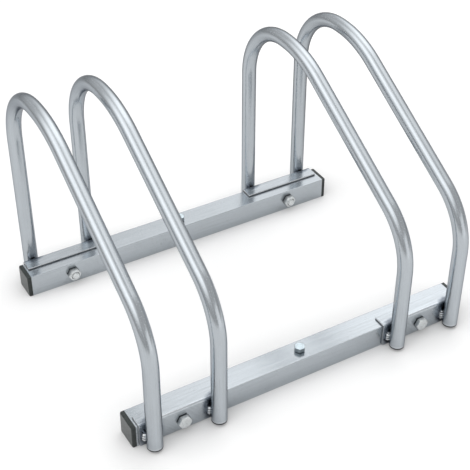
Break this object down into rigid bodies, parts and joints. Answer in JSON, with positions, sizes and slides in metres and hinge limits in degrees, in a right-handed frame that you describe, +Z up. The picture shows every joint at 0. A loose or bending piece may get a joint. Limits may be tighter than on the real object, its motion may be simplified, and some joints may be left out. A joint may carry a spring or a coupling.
{
  "type": "floor bike stand",
  "caption": "Low floor stand whose bent steel hoops hold bicycle wheels upright, bolted through angle brackets to square crossbars with capped ends.",
  "frame": {"origin": "on the floor under the middle of the stand", "axes": "+X along the crossbars to the right, +Y from the low front bends towards the high rear bends, +Z up"},
  "size_m": [0.39, 0.321, 0.2613],
  "materials": {
    "crossbar_steel": "satin, drawn lengthwise grain",
    "hoop_steel": "satin bright steel tube",
    "bracket_steel": "satin sheet, tinted dark by the heat beside each weld",
    "weld_metal": "rippled bead, brushed clean",
    "zinc_hardware": "bright zinc plate",
    "cap_plastic": "moulded, fine satin texture"
  },
  "bodies": {
    "root": {"front_crossbar": "crossbar_steel", "rear_crossbar": "crossbar_steel", "front_left_cap": "cap_plastic", "front_right_cap": "cap_plastic", "rear_left_cap": "cap_plastic", "rear_right_cap": "cap_plastic", "left_outer_hoop": "hoop_steel", "left_inner_hoop": "hoop_steel", "right_inner_hoop": "hoop_steel", "right_outer_hoop": "hoop_steel", "front_left_bracket": "bracket_steel", "front_right_bracket": "bracket_steel", "rear_left_bracket": "bracket_steel", "rear_right_bracket": "bracket_steel", "front_left_welds": "weld_metal", "front_right_welds": "weld_metal", "rear_left_welds": "weld_metal", "rear_right_welds": "weld_metal", "front_left_bolt": "zinc_hardware", "front_right_bolt": "zinc_hardware", "rear_left_bolt": "zinc_hardware", "rear_right_bolt": "zinc_hardware", "front_left_nut": "zinc_hardware", "front_right_nut": "zinc_hardware", "rear_left_nut": "zinc_hardware", "rear_right_nut": "zinc_hardware", "front_floor_screw": "zinc_hardware", "rear_floor_screw": "zinc_hardware"}
  },
  "joints": []
}
